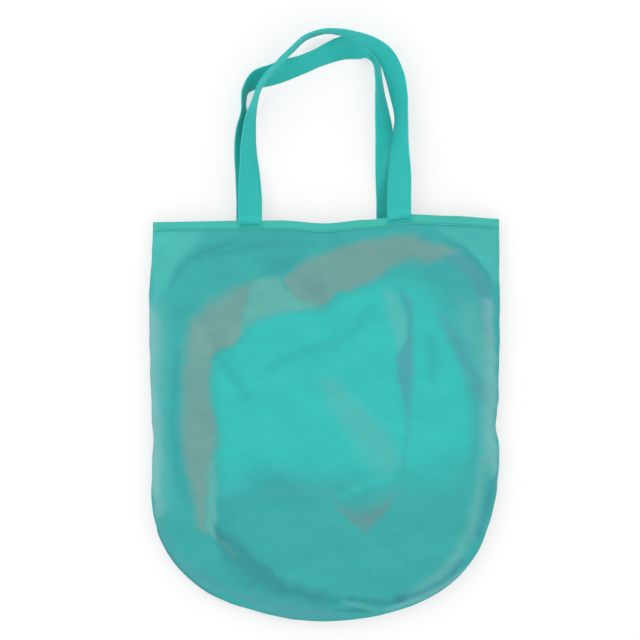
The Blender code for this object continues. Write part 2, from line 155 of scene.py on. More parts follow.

# How the front panel lies, in millimetres. A patch is an outline of (x, y, softness of its edge there), and
# a band is a route of (x, y, half width) with one softness. Then come how far it stands up or sinks, how the
# sheer cloth looks there, and how strongly. Beside the cloth's own tints, most darker patches and bands are
# painted shade in creases, hollows and along the lower edges, and the pale ones on ridges and rims are
# painted highlights.
PATCHES = {
    "bright_middle": ([
        (-116, -31, 14), (-96, -22, 12), (-72, 5, 12), (-36, 14, 10), (1, 16, 10), (21, 32, 12),
        (53, 43, 16), (84, 43, 24), (110, 30, 26), (128, 3, 22), (143, -26, 18), (155, -62, 18),
        (160, -104, 20), (155, -135, 26), (120, -153, 34), (79, -157, 30), (16, -155, 30),
        (-36, -153, 30), (-72, -155, 30), (-100, -167, 20), (-111, -151, 16), (-110, -109, 14),
        (-117, -78, 14),
    ], 0, BRIGHT, 1.0),
    "left_corner": ([
        (-179, 100, 4), (-129, 100, 8), (-127, 88, 8), (-146, 70, 7), (-165, 43, 7), (-175, 24, 8),
        (-181, 57, 4),
    ], 0, CORNER, 0.85),
    "right_corner": ([
        (120, 101, 10), (183, 105, 4), (183, 38, 5), (171, 50, 3), (158, 69, 3), (143, 82, 4),
        (126, 92, 6),
    ], 0, CORNER, 0.7),
    # painted shade below the hem, left of the middle
    "upper_blue": ([
        (-65, 66, 14), (-41, 76, 14), (-25, 74, 12), (-36, 59, 12), (-59, 51, 10),
    ], 0, SHADOW, 0.45),
    "left_crescent": ([
        (-149, -104, 10), (-147, -78, 11), (-146, -47, 11), (-144, -21, 10), (-140, 0, 9), (-129, 12, 9),
        (-116, 25, 11), (-100, 33, 11), (-85, 40, 9), (-72, 45, 6), (-81, 20, 4), (-87, -7, 3),
        (-93, -19, 4), (-102, -24, 3), (-113, -26, 2), (-117, -33, 2), (-119, -52, 3), (-120, -73, 4),
        (-116, -88, 5), (-112, -104, 5), (-112, -120, 6), (-116, -140, 5), (-120, -161, 4),
        (-123, -182, 3), (-124, -203, 2), (-123, -219, 2), (-131, -207, 6), (-135, -187, 8),
        (-140, -166, 8), (-144, -151, 7), (-147, -130, 6),
    ], 2.2, BEIGE, 1.0),
    "crescent_facet": ([
        (-135, 3, 4), (-127, 1, 2), (-115, -25, 2), (-120, -33, 3), (-129, -32, 5), (-137, -21, 6),
    ], 0.6, LINEN, 0.7),
    "crescent_rose": ([(-100, -9, 6), (-87, 7, 3), (-88, -9, 3), (-98, -22, 4)], 0, LINEN, 0.6),
    "mist_facet": ([
        (-74, 44, 4), (-59, 51, 4), (-47, 49, 3), (-40, 36, 2), (-25, 27, 3), (-7, 20, 3), (1, 17, 3),
        (-25, 15, 4), (-46, 14, 6), (-65, 7, 6), (-80, 1, 6), (-87, -9, 5), (-82, 18, 3),
    ], 1.2, MIST, 0.95),
    "upper_crescent": ([
        (-43, 45, 2), (-36, 55, 3), (-25, 64, 5), (-13, 70, 5), (1, 75, 5), (16, 81, 5), (37, 87, 5),
        (63, 90, 6), (79, 94, 6), (94, 93, 8), (105, 87, 6), (120, 83, 6), (139, 79, 5), (133, 74, 6),
        (120, 68, 6), (105, 66, 8), (91, 68, 8), (79, 66, 6), (68, 59, 6), (56, 50, 6), (42, 43, 5),
        (29, 36, 4), (16, 34, 3), (11, 32, 2), (7, 25, 2), (-5, 21, 3), (-20, 24, 3), (-33, 32, 2),
    ], 2.2, BEIGE, 1.0),
    "crescent_shade": ([
        (-25, 45, 10), (-3, 49, 8), (8, 38, 4), (2, 27, 4), (-19, 30, 6),
    ], -0.6, ROSE, 0.5),
    "right_shoulder": ([
        (126, 71, 7), (144, 77, 5), (161, 61, 5), (172, 42, 6), (176, 7, 6), (171, -26, 7), (164, 0, 7),
        (159, 29, 7), (148, 50, 7), (137, 60, 7),
    ], 1.2, MAUVE_SHADE, 0.85),
    "side_crease": ([
        (120, 11, 10), (136, -3, 8), (146, -26, 8), (160, -51, 8), (170, -74, 8), (164, -80, 7),
        (151, -63, 7), (139, -36, 6), (128, -14, 5),
    ], 1.4, MAUVE_SHADE, 0.75),
    # painted highlight along the right rim
    "right_wash": ([
        (140, 30, 12), (158, 24, 10), (166, -10, 8), (168, -56, 8), (160, -48, 8), (148, -24, 8),
        (138, 4, 10),
    ], 0.5, SOFT_HIGHLIGHT, 0.5),
    "light_fold": ([
        (62, 36, 4), (73, 33, 4), (81, 16, 3), (87, 3, 4), (85, -16, 3), (79, -29, 3), (73, -16, 5),
        (68, 5, 6), (64, 21, 5),
    ], 1.4, SOFT_HIGHLIGHT, 0.6),
    "long_crease": ([
        (79, 34, 6), (90, 26, 5), (92, 5, 4), (91, -21, 4), (93, -47, 5), (90, -73, 6), (87, -107, 6),
        (83, -78, 5), (76, -55, 4), (75, -34, 3), (83, -21, 3), (87, 0, 3),
    ], -1.2, MAUVE_SHADE, 0.8),
    # painted highlight on a raised fold
    "feather": ([
        (-7, -55, 9), (11, -56, 10), (22, -66, 9), (30, -76, 7), (40, -83, 7), (50, -94, 9),
        (62, -109, 11), (74, -125, 9), (80, -148, 5), (63, -155, 16), (47, -145, 14), (35, -130, 13),
        (21, -109, 12), (5, -83, 10),
    ], 1.0, SOFT_HIGHLIGHT, 0.5),
    "triangle_wash": ([
        (10, -184, 8), (24, -188, 12), (42, -186, 14), (60, -178, 12), (73, -168, 6), (76, -177, 4),
        (71, -187, 4), (64, -196, 4), (55, -204, 4), (43, -217, 6), (32, -209, 5), (19, -197, 6),
    ], 0.9, ROSE, 0.26),
    "triangle": ([
        (14, -189, 6), (26, -195, 7), (42, -196, 8), (57, -190, 7), (68, -183, 6), (65, -192, 4),
        (55, -202, 4), (43, -215, 6), (33, -208, 5), (22, -197, 5),
    ], 0.6, ROSE, 0.8),
    "middle_shade": ([
        (-77, -161, 14), (-51, -151, 12), (-20, -161, 12), (-15, -184, 12), (-57, -188, 14),
        (-82, -182, 14),
    ], -0.8, DEEP_SHADE, 0.6),
    # painted highlight along the left rim
    "left_wash": ([
        (-182, 34, 6), (-168, 24, 10), (-162, -8, 10), (-164, -50, 10), (-166, -92, 9), (-162, -150, 9),
        (-160, -190, 10), (-174, -201, 4), (-184, -151, 2), (-183, -57, 2), (-185, -4, 3),
    ], 0, SOFT_HIGHLIGHT, 0.55),
    "left_edge": ([
        (-182, 20, 5), (-173, 7, 7), (-173, -21, 7), (-174, -47, 7), (-174, -78, 6), (-171, -109, 6),
        (-170, -151, 6), (-171, -182, 6), (-168, -199, 5), (-174, -201, 3), (-179, -177, 2),
        (-184, -151, 2), (-181, -109, 2), (-183, -57, 2), (-185, -16, 2),
    ], 0, PALE_HIGHLIGHT, 0.8),
    "crescent_mist": ([
        (-123, -151, 5), (-116, -140, 4), (-112, -161, 3), (-111, -182, 2), (-112, -203, 2),
        (-113, -224, 1), (-122, -216, 2), (-123, -198, 3), (-122, -172, 4),
    ], 0.8, MIST, 0.85),
    "foot_shade": ([
        (-113, -178, 4), (-103, -186, 8), (-92, -206, 8), (-98, -222, 8), (-111, -222, 3),
    ], -0.6, DEEP_SHADE, 0.6),
    # painted shade in the hollow near the bottom
    "bottom_hollow": ([
        (-113, -208, 3), (-104, -213, 6), (-91, -224, 6), (-72, -241, 4), (-51, -260, 4), (-36, -270, 6),
        (-15, -276, 8), (6, -281, 8), (27, -286, 8), (6, -292, 8), (-25, -286, 10), (-51, -282, 13),
        (-77, -272, 16), (-96, -253, 14), (-108, -236, 8), (-114, -224, 3),
    ], -2.0, SHADOW, 0.85),
    "left_foot": ([
        (-174, -182, 8), (-165, -218, 8), (-148, -244, 8), (-123, -261, 8), (-102, -274, 8),
        (-115, -278, 6), (-142, -262, 5), (-163, -240, 5), (-173, -211, 5),
    ], -1.2, BLUISH_SHADE, 0.65),
    "bottom_edge": ([
        (-103, -276, 8), (-67, -282, 8), (-25, -291, 8), (6, -297, 5), (24, -303, 4), (-15, -307, 3),
        (-51, -301, 3), (-83, -289, 4),
    ], 0, BLUISH_SHADE, 0.6),
    # painted highlight along the right rim
    "right_edge": ([
        (166, 26, 6), (174, 26, 4), (178, -16, 3), (179, -68, 2), (177, -109, 2), (181, -130, 2),
        (181, -151, 2), (173, -157, 8), (166, -140, 9), (164, -109, 9), (166, -68, 9), (165, -16, 8),
    ], 0, PALE_HIGHLIGHT, 0.6),
}
BANDS = {
    "left_ring_shade": ([
        (-152, -30, 3), (-157, -99, 5), (-152, -151, 6), (-139, -192, 4),
    ], 9, -0.8, DEEP_SHADE, 0.55),
    "right_ring_shade": ([(156, -73, 3), (159, -109, 4), (155, -135, 3)], 8, -0.6, MAUVE_SHADE, 0.4),
    "right_ring_light": ([(128, -20, 4), (135, -60, 6), (138, -110, 5)], 14, 0.6, BRIGHT, 0.5),
    "low_glint": ([(17, -179, 2), (40, -167, 4), (72, -160, 3)], 10, 0.6, BRIGHT, 0.55),
    "low_sheen": ([(-60, -176, 4), (-20, -170, 5), (10, -178, 4)], 14, 0.6, MIST, 0.16),
    # painted shade in the creases under the hem
    "left_arc": ([
        (-160, 40, 1), (-153, 55, 2), (-140, 68, 3), (-114, 80, 3), (-92, 88, 2),
    ], 9, -1.3, SHADOW, 0.42),
    "hem_shade": ([(-115, 74, 2), (-77, 81, 4), (-41, 85, 3), (-12, 82, 2)], 12, -0.9, SHADOW, 0.36),
    "right_arc": ([(124, 89, 1), (143, 81, 2), (160, 64, 2), (171, 50, 1)], 5, -1.6, DEEP_SHADE, 0.8),
    # painted shade in the tucks of the middle
    "inner_tuck": ([(-109, -36, 3), (-94, -53, 7), (-81, -74, 4)], 12, -1.0, DEEP_SHADE, 0.42),
    "middle_tuck": ([
        (-63, -53, 2), (-45, -38, 5), (-1, -24, 7), (27, -11, 5), (51, 22, 3),
    ], 16, -1.0, DEEP_SHADE, 0.32),
    "right_tuck": ([(110, -18, 5), (114, -36, 6), (112, -55, 4)], 14, -0.8, DEEP_SHADE, 0.4),
    "long_line": ([(87, -107, 2), (83, -135, 2), (81, -174, 1)], 7, -0.8, MAUVE_SHADE, 0.35),
    "tuck_line": ([(-114, -221, 1.2), (-103, -229, 1.6), (-93, -239, 1.0)], 5, 0, BEIGE, 0.42),
    "low_pleat": ([(27, -285, 2), (63, -290, 3), (81, -287, 2)], 6, -1.6, SHADOW, 0.7),
    "low_ridge": ([(20, -288, 1), (37, -293, 2), (54, -297, 1)], 6, 0.6, PALE_HIGHLIGHT, 0.32),
    "low_line": ([(11, -297, 1), (32, -297, 3), (49, -298, 1)], 4, -1.2, SHADOW, 0.6),
    # painted shade along the lower right edge
    "right_foot": ([
        (76, -286, 4), (105, -278, 3.5), (131, -263, 3.5), (144, -245, 2),
    ], 6, -1.4, DUSKY_SHADE, 0.75),
    "right_hem_light": ([(63, -297, 1), (99, -285, 3), (126, -271, 3), (148, -253, 1)], 6, 0, PALE_HIGHLIGHT, 0.5),
    "right_foot_light": ([
        (91, -278, 2), (120, -260, 5), (137, -242, 5), (153, -213, 5), (161, -172, 4), (163, -140, 3),
    ], 12, 0.8, PALE_HIGHLIGHT, 0.36),
    "right_low_edge": ([(160, -219, 3), (169, -190, 4), (175, -161, 2)], 6, -0.8, DUSKY_SHADE, 0.6),
}

# The patches' edges wander by so many millimetres, in waves of a length, turn and seed. The shape of a fold
# is softer than its colour.
EDGE_WANDER = 1.3
WANDER_ACROSS = (29 * MM, 0.8, 1.7)
WANDER_ALONG = (33 * MM, -0.5, 3.9)
SHAPE_SOFTNESS = 5.0
COLOUR_SOFTNESS = 1.0

# Ripples and gathers between the folds. A ripple is its height, wave length, turn and seed.
FRONT_RIPPLES = [
    (0.7 * MM, 90 * MM, 0.5, 1.3), (0.35 * MM, 38 * MM, -0.9, 4.1), (0.12 * MM, 13 * MM, 1.9, 2.2),
]
BACK_RIPPLES = [(0.8 * MM, 70 * MM, 1.1, 5.2), (0.3 * MM, 26 * MM, -0.6, 2.9)]
GATHER_HEIGHT = 0.2 * MM
GATHER_LENGTH = 23 * MM
GATHER_SLANT = 0.3
GATHER_START = 6 * MM
GATHER_REACH = 22 * MM
FRONT_RELIEF_START = 14 * MM
FRONT_RELIEF_RIM = 0.05
BACK_RELIEF_START = 20 * MM
BACK_RELIEF_RIM = 0.12

# How the edges lie, in millimetres: the hem and the bottom as (x, shift up the bag), the sides as (y, shift
# inwards)
HEM_WAVE = [
    (-182, -4.2), (-77, -2.8), (-45, -2.6), (0, -5.6), (45, -1.8), (89, 3.8), (130, 2.2), (182, -0.8),
]
BOTTOM_WAVE = [
    (-182, 0.0), (-150, -0.6), (-128, -1.2), (-100, 0.8), (-78, 2.2), (-55, 1.6), (-30, 0.4), (0, 0.0),
    (40, 0.8), (75, 1.3), (105, 0.9), (130, 0.4), (182, 0.0),
]
LEFT_SIDE = [
    (-309, -1.6), (-250, -2.2), (-222, -1.0), (-205, 0.8), (-185, 1.4), (-160, 2.1), (-120, 3.7),
    (-85, 1.9), (-45, 0.6), (-20, 0.0), (10, -0.4), (40, -0.3), (70, 0.5), (112, 0.6),
]
RIGHT_SIDE = [
    (-309, 5.5), (-240, 6.0), (-215, 6.2), (-190, 4.6), (-165, 2.0), (-145, 0.4), (-125, 0.4),
    (-104, 4.0), (-90, 2.6), (-74, 0.8), (-45, 0.5), (-5, -0.4), (45, -0.4), (65, -1.4), (90, -2.4),
    (112, -2.8),
]
HEM_WAVE_RUN = 60 * MM
SIDE_FADE = 4
PUCKER = 0.35 * MM
PUCKER_LENGTH = 47 * MM

# Routes of the straps: across, out from the mouth, strap widths that the lower edge is held up, and lean in
# degrees
FRONT_ROUTE = [
    (-0.0780, 0.0190, 0.00, 8), (-0.0785, 0.0380, 0.10, 25), (-0.0790, 0.0560, 0.22, 42),
    (-0.0796, 0.0760, 0.22, 52), (-0.0776, 0.1020, 0.18, 64), (-0.0724, 0.1230, 0.28, 77),
    (-0.0650, 0.1410, 0.48, 79), (-0.0475, 0.1610, 0.66, 79), (-0.0325, 0.1760, 0.55, 79),
    (-0.0185, 0.1880, 0.36, 80), (0.0045, 0.1940, 0.30, 80), (0.0307, 0.1890, 0.48, 71),
    (0.0504, 0.1800, 0.54, 58), (0.0645, 0.1670, 0.56, 45), (0.0730, 0.1480, 0.34, 38),
    (0.0775, 0.1280, 0.12, 45), (0.0800, 0.1040, 0.02, 57), (0.0785, 0.0730, 0.23, 42),
    (0.0780, 0.0400, 0.10, 15), (0.0776, 0.0180, 0.00, 3),
]
BACK_ROUTE = [
    (-0.0806, 0.0190, 0.00, 3), (-0.0816, 0.0400, 0.00, 12), (-0.0842, 0.0710, 0.00, 30),
    (-0.0857, 0.0920, 0.00, 54), (-0.0850, 0.1100, 0.00, 76), (-0.0853, 0.1220, 0.00, 80),
    (-0.0826, 0.1335, 0.00, 72), (-0.0712, 0.1440, 0.00, 42), (-0.0567, 0.1488, 0.00, 33),
    (-0.0410, 0.1542, 0.00, 32), (-0.0234, 0.1600, 0.00, 43), (-0.0047, 0.1680, 0.00, 42),
    (0.0160, 0.1765, 0.00, 20), (0.0328, 0.1780, 0.00, -4), (0.0455, 0.1745, 0.00, -36),
    (0.0530, 0.1630, 0.00, -70), (0.0560, 0.1440, 0.00, -73), (0.0579, 0.1230, 0.00, -63),
    (0.0604, 0.1020, 0.00, -50), (0.0624, 0.0800, 0.00, -38), (0.0645, 0.0480, 0.00, -18),
    (0.0660, 0.0200, 0.00, -2),
]
CAD_STRAP_THICKNESS = 1.2 * MM
FLOOR_GAP = 0.2 * MM


def smooth(share):
    """0 to 1 with a soft start and end."""
    share = np.clip(share, 0.0, 1.0)
    return share * share * (3 - 2 * share)


def half_width(y):
    """Half the bag's width at y, which flares a little below the mouth."""
    return (MOUTH_WIDTH + (BAG_WIDTH - MOUTH_WIDTH) * smooth((MOUTH_Y - y) / SIDE_FLARE)) / 2


def outline(across, down, inset):
    """Points of the bag's plan: across from -1 to 1, down from 0 at the mouth to 1 where the bottom starts to
    round and 2 at the lowest edge."""
    n = BOTTOM_FULLNESS
    straight = np.minimum(down, 1.0)
    bottom = np.maximum(down - 1.0, 0.0)
    y = MOUTH_Y - PANEL_TOP - straight * (STRAIGHT - PANEL_TOP)
    x = (half_width(y) - inset) * across * (1 - bottom**n / 2) ** (1 / n)
    y = y - (BOTTOM_DEPTH - inset) * bottom * (1 - np.abs(across) ** n / 2) ** (1 / n)
    return x, y


def nearness(x, y):
    """How near a point of the plan is to the bag's edge, from 0 in the middle to 1 there."""
    n = BOTTOM_FULLNESS
    side = np.abs(x) / half_width(y)
    below = np.maximum(BOTTOM_START_Y - y, 0.0) / BOTTOM_DEPTH
    return np.minimum((side**n + below**n) ** (1 / n), 1.0)


def bulge(x, y, squareness, flat):
    """A panel's rise from 0 at its edge to 1, which holds over the flat share of the way out."""
    past_flat = np.maximum(nearness(x, y) - flat, 0.0) / (1 - flat)
    return np.sqrt(1 - past_flat**squareness)


def away_from_mouth(y):
    """0 at the mouth, growing to 1 where the bag is fully puffed."""
    return smooth((MOUTH_Y - FLAT_AT_MOUTH - y) / PUFF_RUN)


def front_height(x, y):
    """Height of the front panel's main form."""
    edge = SEAM_HEIGHT + SEAM_FOLD
    mouth = FRONT_MOUTH_Z - edge
    rise = mouth + (PUFF - mouth) * away_from_mouth(y)
    inside = 1 - (x**2 + (y - HOLLOW_Y) ** 2) / HOLLOW_RADIUS**2
    return edge + rise * bulge(x, y, FRONT_SQUARENESS, 0.0) - HOLLOW * np.maximum(inside, 0.0) ** 2


def back_height(x, y):
    """Height of the back panel, which lies on the floor inside its edge."""
    edge = SEAM_HEIGHT - SEAM_FOLD
    low = BACK_MOUTH_Z + (NET / 2 - BACK_MOUTH_Z) * away_from_mouth(y)
    return edge + (low - edge) * bulge(x, y, BACK_SQUARENESS, BACK_FLAT)


SHORT_SWELL = 0.6


def waves(x, y, length, turn, seed):
    """A soft random-looking swell of about that wave length, between -1 and 1, with its crests turned. Its
    uneven factors keep it from repeating."""
    along = x * math.cos(turn) + y * math.sin(turn)
    aside = y * math.cos(turn) - x * math.sin(turn)
    k = 2 * math.pi / length
    long_swell = np.sin(k * along + 1.7 * np.sin(0.61 * k * aside + seed) + seed)
    short_swell = np.sin(1.73 * k * along - 1.3 * np.sin(0.83 * k * aside + 2.1 * seed) + 3.3 * seed)
    return (long_swell + SHORT_SWELL * short_swell) / (1 + SHORT_SWELL)


def from_segment(x, y, start, end):
    """How far points lie from a segment, and how far along it, from 0 to 1, their nearest place is."""
    run_x, run_y = end[0] - start[0], end[1] - start[1]
    along = np.clip(((x - start[0]) * run_x + (y - start[1]) * run_y) / (run_x**2 + run_y**2), 0, 1)
    return np.hypot(x - start[0] - along * run_x, y - start[1] - along * run_y), along


def band_cover(x, y, route, softness):
    """1 on the band's route, fading to 0 past its half width."""
    cover = np.zeros_like(x)
    for start, end in zip(route, route[1:]):
        distance, along = from_segment(x, y, start, end)
        reach = start[2] + (end[2] - start[2]) * along
        cover = np.maximum(cover, smooth((reach - distance) / softness + 0.5))
    return cover


def patch_cover(x, y, outline_points, least_softness):
    """1 inside the patch, fading to 0 across its edge, as softly as the edge is there."""
    nearest = np.full_like(x, np.inf)
    softness = np.ones_like(x)
    inside = np.zeros(x.shape, bool)
    for start, end in zip(outline_points, outline_points[1:] + outline_points[:1]):
        distance, along = from_segment(x, y, start, end)
        closer = distance < nearest
        nearest = np.where(closer, distance, nearest)
        softness = np.where(closer, start[2] + (end[2] - start[2]) * along, softness)
        spans = (start[1] > y) != (end[1] > y)
        rise = end[1] - start[1] if end[1] != start[1] else 1.0
        inside ^= spans & (x < start[0] + (y - start[1]) * (end[0] - start[0]) / rise)
    signed = np.where(inside, nearest, -nearest)
    return smooth(signed / (2 * np.maximum(softness, least_softness)) + 0.5)


def fold_covers(x, y, least_softness):
    """Each patch and band in turn: how far it covers the points, its lift, its colour and its strength."""
    wander_x = x / MM + EDGE_WANDER * waves(x, y, *WANDER_ACROSS)
    wander_y = y / MM + EDGE_WANDER * waves(x, y, *WANDER_ALONG)
    for outline_points, lift, tint, strength in PATCHES.values():
        yield patch_cover(wander_x, wander_y, outline_points, least_softness), lift, tint, strength
    for route, softness, lift, tint, strength in BANDS.values():
        yield band_cover(x / MM, y / MM, route, max(softness, least_softness)), lift, tint, strength


def front_relief(x, y):
    """Folds and creases of the front panel on top of its main form."""
    relief = np.zeros_like(x)
    for cover, lift, _, _ in fold_covers(x, y, SHAPE_SOFTNESS):
        relief += lift * MM * cover
    for height, length, turn, seed in FRONT_RIPPLES:
        relief += height * waves(x, y, length, turn, seed)
    below_hem = MOUTH_Y - BINDING_HEIGHT - y
    gathers = np.exp(-np.maximum(below_hem, 0) / GATHER_REACH) * smooth(below_hem / GATHER_START)
    relief += GATHER_HEIGHT * gathers * waves(x, GATHER_SLANT * y, GATHER_LENGTH, turn=0.0, seed=0.7)
    settle = smooth(below_hem / FRONT_RELIEF_START) * smooth((1 - nearness(x, y)) / FRONT_RELIEF_RIM)
    return relief * settle


def back_relief(x, y):
    """Shallow ripples of the back panel, up from the surface that it lies on."""
    relief = np.zeros_like(x)
    for height, length, turn, seed in BACK_RIPPLES:
        relief += height * np.maximum(waves(x, y, length, turn, seed), 0) ** 2
    below_hem = MOUTH_Y - BINDING_HEIGHT - y
    return relief * smooth(below_hem / BACK_RELIEF_START) * smooth((1 - nearness(x, y)) / BACK_RELIEF_RIM)


def curve_through(stations, place):
    """A smooth curve of values through (place, value) stations."""
    places = np.array([s[0] for s in stations], float) * MM
    values = np.array([s[1] for s in stations], float) * MM
    index = np.clip(np.searchsorted(places, place) - 1, 0, len(places) - 2)
    t = smooth((place - places[index]) / (places[index + 1] - places[index]))
    return values[index] + (values[index + 1] - values[index]) * t


def lie(points):
    """Shifts points in plan as the limp cloth lies: hem and bottom wave, the sides draw in and pucker."""
    points = np.array(points, float)
    x, y = points[..., 0], points[..., 1]
    near_mouth = 1 - smooth(np.abs(MOUTH_Y - y) / HEM_WAVE_RUN)
    shifted = points.copy()
    shifted[..., 1] += curve_through(HEM_WAVE, x) * near_mouth
    side = np.clip(np.abs(x) / (BAG_WIDTH / 2), 0, 1) ** SIDE_FADE
    pucker = PUCKER * waves(y, x, PUCKER_LENGTH, turn=0.2, seed=3.7) * (1 - near_mouth)
    inwards = np.where(x < 0, curve_through(LEFT_SIDE, y), -curve_through(RIGHT_SIDE, y))
    shifted[..., 0] += side * (inwards - np.sign(x) * pucker)
    low = smooth((BOTTOM_START_Y - y) / BOTTOM_DEPTH) ** 2
    shifted[..., 1] += low * curve_through(BOTTOM_WAVE, x)
    return shifted


def finish_piece(piece, body, slot, material, *nodes):
    """Dresses a piece, makes it ride on a body and puts it in the place of the frame's nodes."""
    piece.data.materials.clear()
    piece.data.materials.append(material)
    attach(piece, body)
    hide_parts(*nodes)


def add_grid(name, points):
    """A grid of quads through points, which is rows by columns by 3, with its UV map on a 0 to 1 square."""
    rows, columns = points.shape[:2]
    bpy.ops.object.select_all(action="DESELECT")
    bpy.ops.mesh.primitive_grid_add(x_subdivisions=columns - 1, y_subdivisions=rows - 1, size=1)
    piece = bpy.context.object
    piece.name = name
    piece.data.name = name
    piece.data.vertices.foreach_set("co", points.reshape(-1).astype(np.float32))
    piece.data.update()
    return piece


def corners(piece):
    """Places of all the corners of a piece's mesh."""
    flat = np.empty(len(piece.data.vertices) * 3, np.float32)
    piece.data.vertices.foreach_get("co", flat)
    return flat.reshape(-1, 3)


def pick(piece):
    """Makes a piece the only one selected, and the active one."""
    bpy.ops.object.select_all(action="DESELECT")
    piece.select_set(True)
    bpy.context.view_layer.objects.active = piece


def thicken(piece, thickness):
    """Gives a sheet its thickness, half to each side."""
    solid = piece.modifiers.new("thickness", "SOLIDIFY")
    solid.thickness = thickness
    solid.offset = 0
    solid.use_even_offset = True
    solid.use_quality_normals = True
    solid.thickness_clamp = 1.0
    pick(piece)
    bpy.ops.object.modifier_apply(modifier=solid.name)
    piece.data.shade_smooth()


def run_lengths(points):
    """How far along a line of points each of them lies."""
    return np.concatenate([[0], np.cumsum(np.linalg.norm(np.diff(points, axis=0), axis=1))])


def stretch_uv(piece, points):
    """Makes a grid's UV map run in metres across and along the piece."""
    rows, columns = points.shape[:2]
    layer = piece.data.uv_layers.active.data
    flat = np.empty(len(layer) * 2, np.float32)
    layer.foreach_get("uv", flat)
    u, v = flat[0::2], flat[1::2]
    flat[0::2] = np.interp(u, np.linspace(0, 1, columns), run_lengths(points[rows // 2]))
    flat[1::2] = np.interp(v, np.linspace(0, 1, rows), run_lengths(points[:, columns // 2]))
    layer.foreach_set("uv", flat)


def add_tape(name, points, thickness):
    """A tape or strap through points, with a weave that follows it."""
    piece = add_grid(name, points)
    stretch_uv(piece, points)
    thicken(piece, thickness)
    return piece


# Net panels
PANEL_COLUMNS = 180
STRAIGHT_ROWS = 145
BOTTOM_ROWS = 85
SIDE_CROWDING = 0.35
BOTTOM_CROWDING = 0.5


def crowded(places, crowding, start=0):
    """Places from 0 to 1, or from -1 to 1, drawn closer together towards 1 and -1."""
    return start + (1 - crowding) * places + crowding * np.sin(math.pi / 2 * places)


def panel_stations():
    """Across from -1 to 1, and down from 0 at the mouth to 2 at the lowest edge."""
    across = crowded(np.linspace(-1, 1, PANEL_COLUMNS + 1), SIDE_CROWDING)
    bottom = crowded(np.linspace(0, 1, BOTTOM_ROWS + 1), BOTTOM_CROWDING, start=1)
    down = np.concatenate([np.linspace(0, 1, STRAIGHT_ROWS + 1)[:-1], bottom])
    return across, down


def rim_stations():
    """The stations down one side, along the bottom and up the other side."""
    across, down = panel_stations()
    left = [(-1.0, d) for d in down]
    bottom = [(a, 2.0) for a in across[1:-1]]
    right = [(1.0, d) for d in down[::-1]]
    return np.array(left + bottom + right)


# How the front panel's spare cloth settles: a cloth simulation on every second row and column
SPARE_CLOTH = 0.022
FORM_HOLD = 0.035
SETTLE_FRAMES = 16
SETTLE_LIMIT = 3.5 * MM
SETTLE_STEPS = 6
CLOTH_MASS = 0.1
CLOTH_BENDING = 0.08
CLOTH_WEIGHT = 0.15
HELD_ROWS = 5
SEWN_RUN = 0.07
HEM_RUN = 45 * MM


def doubled(values):
    """The same values with smooth ones put halfway between along the first axis, from the four nearest."""
    before = np.concatenate([values[:1], values[:-2]])
    after = np.concatenate([values[2:], values[-1:]])
    halfway = (9 * (values[:-1] + values[1:]) - before - after) / 16
    out = np.empty((2 * len(values) - 1, *values.shape[1:]))
    out[0::2] = values
    out[1::2] = halfway
    return out


def settled(points):
    """How far each point of a panel moves as its spare cloth buckles between the sewn edges."""
    coarse = points[::2, ::2]
    rows, columns = coarse.shape[:2]
    piece = add_grid("settling_cloth", coarse)
    hold = np.full((rows, columns), FORM_HOLD)
    hold[:1] = hold[-HELD_ROWS:] = 1.0
    hold[:, :1] = hold[:, -1:] = 1.0
    held = piece.vertex_groups.new(name="held")
    for index, weight in enumerate(hold.reshape(-1)):
        held.add([index], float(weight), "REPLACE")
    cloth = piece.modifiers.new("cloth", "CLOTH")
    cloth.settings.vertex_group_mass = "held"
    cloth.settings.shrink_min = -SPARE_CLOTH
    cloth.settings.quality = SETTLE_STEPS
    cloth.settings.mass = CLOTH_MASS
    cloth.settings.bending_stiffness = CLOTH_BENDING
    cloth.settings.effector_weights.gravity = CLOTH_WEIGHT
    cloth.collision_settings.use_collision = False
    cloth.point_cache.frame_end = SETTLE_FRAMES
    for frame_number in range(1, SETTLE_FRAMES + 1):
        bpy.context.scene.frame_set(frame_number)
    moved = piece.evaluated_get(bpy.context.evaluated_depsgraph_get()).data
    flat = np.empty(rows * columns * 3, np.float32)
    moved.vertices.foreach_get("co", flat)
    shift = flat.reshape(rows, columns, 3) - coarse
    bpy.data.objects.remove(piece)
    bpy.context.scene.frame_set(1)
    length = np.linalg.norm(shift, axis=2, keepdims=True)
    shift = shift * np.minimum(1.0, SETTLE_LIMIT / np.maximum(length, 1e-9))
    return doubled(doubled(shift).swapaxes(0, 1)).swapaxes(0, 1)


def add_panel(name, height, relief, fold_side, settles):
    """A net panel with its edge turned in to the seam allowance round the sides and the bottom."""
    across, down = panel_stations()
    a, d = np.meshgrid(across, down[::-1])
    x, y = outline(a, d, 0.0)
    points = np.stack([x, y, height(x, y) + relief(x, y)], -1)
    if settles:
        from_seam = smooth((1 - nearness(x, y)) / SEWN_RUN)
        from_hem = smooth((MOUTH_Y - FLAT_AT_MOUTH - y) / HEM_RUN)
        points = points + settled(points) * (from_seam * from_hem)[..., None]
    piece = add_grid(name, points)
    add_seam_allowance(piece, a.reshape(-1), d.reshape(-1), fold_side)
    lying = lie(corners(piece))
    piece.data.vertices.foreach_set("co", lying.reshape(-1).astype(np.float32))
    return piece


